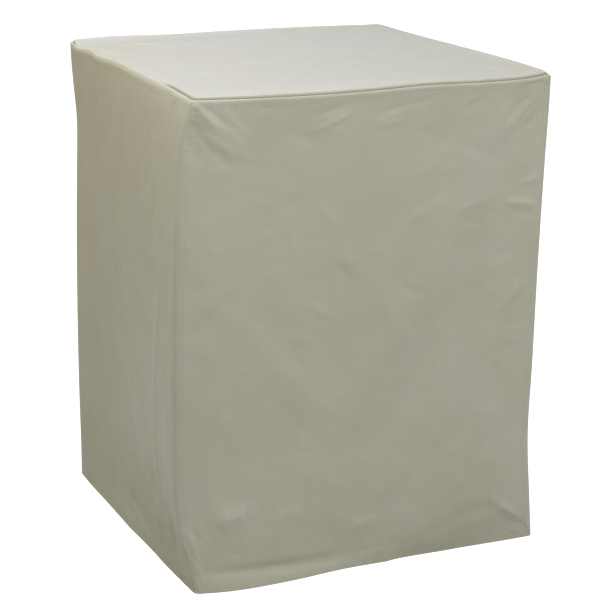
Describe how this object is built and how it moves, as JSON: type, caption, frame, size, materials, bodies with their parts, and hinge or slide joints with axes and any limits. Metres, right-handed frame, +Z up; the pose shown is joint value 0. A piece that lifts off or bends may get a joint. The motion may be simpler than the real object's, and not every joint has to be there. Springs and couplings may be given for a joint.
{
  "type": "evaporative cooler cover",
  "caption": "Square box-shaped fitted cover of coated cloth, open below, that drops over a floor-standing evaporative cooler to keep off dust and rain.",
  "frame": {"origin": "middle of the top panel's flat underside, where the cover rests on the cooler's top", "axes": "+Z up, along the cover's height; -Y faces the front wall; +X to the right seen from the front"},
  "size_m": [0.7662, 0.7287, 0.9509],
  "materials": {
    "coated_cloth": "smooth matt coated cloth with a slight sheen, pale grey-green taupe, plain"
  },
  "bodies": {
    "root": {"top_panel": "coated_cloth", "front_wall": "coated_cloth", "right_wall": "coated_cloth", "back_wall": "coated_cloth", "left_wall": "coated_cloth"}
  },
  "joints": []
}
